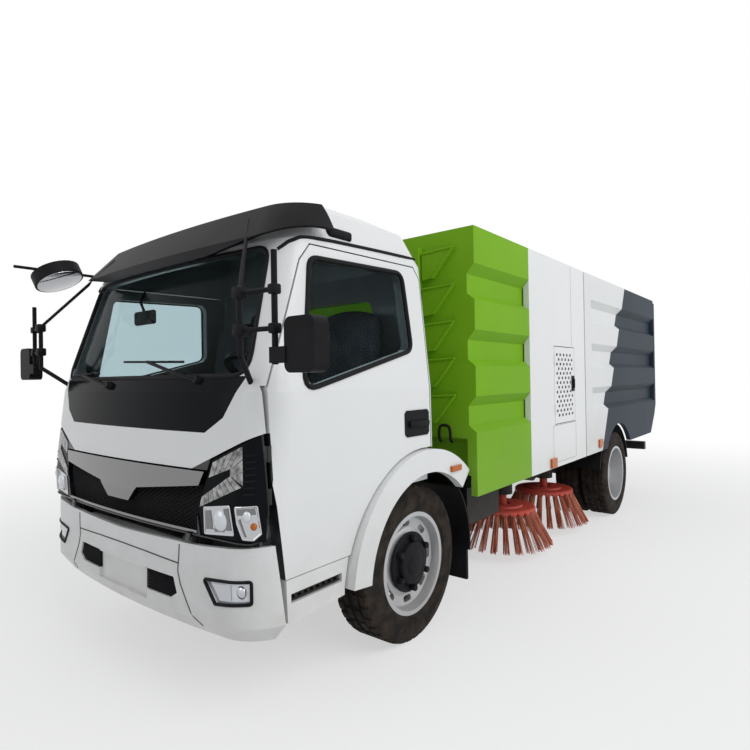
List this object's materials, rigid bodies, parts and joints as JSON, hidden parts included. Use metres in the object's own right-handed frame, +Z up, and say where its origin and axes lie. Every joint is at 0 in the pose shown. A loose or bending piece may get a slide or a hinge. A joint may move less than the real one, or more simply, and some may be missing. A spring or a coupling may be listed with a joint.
{
  "type": "street sweeper truck",
  "caption": "Light cab-over road sweeper with a tilting cab, ribbed sweeper body, tipping dust bin, swinging disc brushes under the body and twin rear wheels.",
  "frame": {"origin": "on the ground under the middle of the overall box", "axes": "+X forward, +Y to the truck's left, +Z up"},
  "size_m": [6.155, 2.52, 2.2299],
  "materials": {
    "white_paint": "gloss paint",
    "green_paint": "gloss paint",
    "grey_paint": "satin paint",
    "frame_black": "satin paint",
    "iron": "cast, oily",
    "rubber": "matt",
    "tyre": "dusty",
    "rim_silver": "silver paint",
    "tinted_glass": "clear, lightly tinted",
    "black_plastic": "matt",
    "gloss_black": "gloss",
    "chrome": "polished",
    "lamp_clear": "clear lens",
    "lamp_amber": "amber lens",
    "lamp_red": "red lens",
    "brush_red": "matt bristle",
    "seat_cloth": "woven",
    "tank_metal": "dull"
  },
  "bodies": {
    "chassis": {"frame_rails": "frame_black", "crossmembers": "frame_black", "subframe": "frame_black", "front_axle": "iron", "rear_axle": "iron", "leaf_springs": "iron", "engine": "iron", "side_tanks": "frame_black", "mudguards": "rubber", "rear_bar": "frame_black", "rear_lamps": "lamp_red", "bumper": "white_paint", "bumper_mesh": "black_plastic", "fog_lamps": "lamp_clear", "tank_body": "green_paint", "house_walls": "white_paint", "house_plates": "white_paint", "sweeper_engine": "iron", "suction_nozzle": "frame_black", "side_lamps": "lamp_amber"},
    "cab": {"cab_shell": "white_paint", "cab_glass": "tinted_glass", "cowl_panel": "gloss_black", "grille_mesh": "black_plastic", "grille_bar": "chrome", "headlamps": "gloss_black", "sun_visor": "black_plastic", "flares": "white_paint", "mirrors": "black_plastic", "seats": "seat_cloth", "dashboard": "black_plastic", "turn_lamps": "lamp_amber"},
    "bin": {"bin_body": "grey_paint", "bin_lamps": "lamp_amber"},
    "tailgate": {"tailgate": "grey_paint"},
    "door_left": {"door_left": "white_paint", "door_glass_left": "tinted_glass"},
    "knuckle_left": {"knuckle_left": "iron"},
    "front_wheel_left": {"front_tyre_left": "tyre", "front_rim_left": "rim_silver"},
    "rear_wheels_left": {"rear_tyres_left": "tyre", "rear_rims_left": "rim_silver"},
    "hatch_left": {"hatch_left": "white_paint"},
    "arm_front_left": {"arm_front_left": "frame_black"},
    "brush_front_left": {"brush_front_left": "brush_red"},
    "arm_rear_left": {"arm_rear_left": "frame_black"},
    "brush_rear_left": {"brush_rear_left": "brush_red"},
    "door_right": {"door_right": "white_paint", "door_glass_right": "tinted_glass"},
    "knuckle_right": {"knuckle_right": "iron"},
    "front_wheel_right": {"front_tyre_right": "tyre", "front_rim_right": "rim_silver"},
    "rear_wheels_right": {"rear_tyres_right": "tyre", "rear_rims_right": "rim_silver"},
    "hatch_right": {"hatch_right": "white_paint"},
    "arm_front_right": {"arm_front_right": "frame_black"},
    "brush_front_right": {"brush_front_right": "brush_red"},
    "arm_rear_right": {"arm_rear_right": "frame_black"},
    "brush_rear_right": {"brush_rear_right": "brush_red"}
  },
  "joints": [
    {"name": "cab_tilt", "type": "hinge", "parent": "chassis", "child": "cab", "pos_m": [2.8925, 0, 0.735], "axis": [0, 1, 0], "range_deg": [0, 45]},
    {"name": "bin_tip", "type": "hinge", "parent": "chassis", "child": "bin", "pos_m": [-2.9725, 0, 0.82], "axis": [0, -1, 0], "range_deg": [0, 45]},
    {"name": "tailgate_lift", "type": "hinge", "parent": "bin", "child": "tailgate", "pos_m": [-3.0165, 0, 2.207], "axis": [0, 1, 0], "range_deg": [0, 80]},
    {"name": "cab_door_left", "type": "hinge", "parent": "cab", "child": "door_left", "pos_m": [2.7905, 0.905, 1.01], "axis": [0, 0, -1], "range_deg": [0, 70]},
    {"name": "steer_left", "type": "hinge", "parent": "chassis", "child": "knuckle_left", "pos_m": [1.7875, 0.64, 0.4], "axis": [0, 0, 1], "range_deg": [-35, 35]},
    {"name": "front_wheel_spin_left", "type": "hinge", "parent": "knuckle_left", "child": "front_wheel_left", "pos_m": [1.7875, 0.752, 0.4], "axis": [0, 1, 0], "continuous": true},
    {"name": "rear_wheels_spin_left", "type": "hinge", "parent": "chassis", "child": "rear_wheels_left", "pos_m": [-1.5205, 0.854, 0.4], "axis": [0, 1, 0], "continuous": true},
    {"name": "hatch_left_swing", "type": "hinge", "parent": "chassis", "child": "hatch_left", "pos_m": [0.1585, 1.002, 1.29], "axis": [0, 0, -1], "range_deg": [0, 100]},
    {"name": "arm_swing_front_left", "type": "hinge", "parent": "chassis", "child": "arm_front_left", "pos_m": [0.6075, 0.345, 0.52], "axis": [0, 0, -1], "range_deg": [0, 20]},
    {"name": "brush_spin_front_left", "type": "hinge", "parent": "arm_front_left", "child": "brush_front_left", "pos_m": [0.1475, 0.56, 0.4], "axis": [0, 0, 1], "continuous": true},
    {"name": "arm_swing_rear_left", "type": "hinge", "parent": "chassis", "child": "arm_rear_left", "pos_m": [-0.2275, 0.345, 0.52], "axis": [0, 0, -1], "range_deg": [0, 20]},
    {"name": "brush_spin_rear_left", "type": "hinge", "parent": "arm_rear_left", "child": "brush_rear_left", "pos_m": [-0.6875, 0.56, 0.4], "axis": [0, 0, 1], "continuous": true},
    {"name": "cab_door_right", "type": "hinge", "parent": "cab", "child": "door_right", "pos_m": [2.7905, -0.905, 1.01], "axis": [0, 0, 1], "range_deg": [0, 70]},
    {"name": "steer_right", "type": "hinge", "parent": "chassis", "child": "knuckle_right", "pos_m": [1.7875, -0.64, 0.4], "axis": [0, 0, 1], "range_deg": [-35, 35]},
    {"name": "front_wheel_spin_right", "type": "hinge", "parent": "knuckle_right", "child": "front_wheel_right", "pos_m": [1.7875, -0.752, 0.4], "axis": [0, 1, 0], "continuous": true},
    {"name": "rear_wheels_spin_right", "type": "hinge", "parent": "chassis", "child": "rear_wheels_right", "pos_m": [-1.5205, -0.854, 0.4], "axis": [0, 1, 0], "continuous": true},
    {"name": "hatch_right_swing", "type": "hinge", "parent": "chassis", "child": "hatch_right", "pos_m": [0.1585, -1.002, 1.29], "axis": [0, 0, 1], "range_deg": [0, 100]},
    {"name": "arm_swing_front_right", "type": "hinge", "parent": "chassis", "child": "arm_front_right", "pos_m": [0.6075, -0.345, 0.52], "axis": [0, 0, 1], "range_deg": [0, 20]},
    {"name": "brush_spin_front_right", "type": "hinge", "parent": "arm_front_right", "child": "brush_front_right", "pos_m": [0.1475, -0.56, 0.4], "axis": [0, 0, 1], "continuous": true},
    {"name": "arm_swing_rear_right", "type": "hinge", "parent": "chassis", "child": "arm_rear_right", "pos_m": [-0.2275, -0.345, 0.52], "axis": [0, 0, 1], "range_deg": [0, 20]},
    {"name": "brush_spin_rear_right", "type": "hinge", "parent": "arm_rear_right", "child": "brush_rear_right", "pos_m": [-0.6875, -0.56, 0.4], "axis": [0, 0, 1], "continuous": true}
  ],
  "couplings": [
    {"joint": "arm_swing_rear_left", "follows": "arm_swing_front_left", "ratio": 1},
    {"joint": "arm_swing_rear_right", "follows": "arm_swing_front_right", "ratio": 1},
    {"joint": "steer_right", "follows": "steer_left", "ratio": 1}
  ]
}
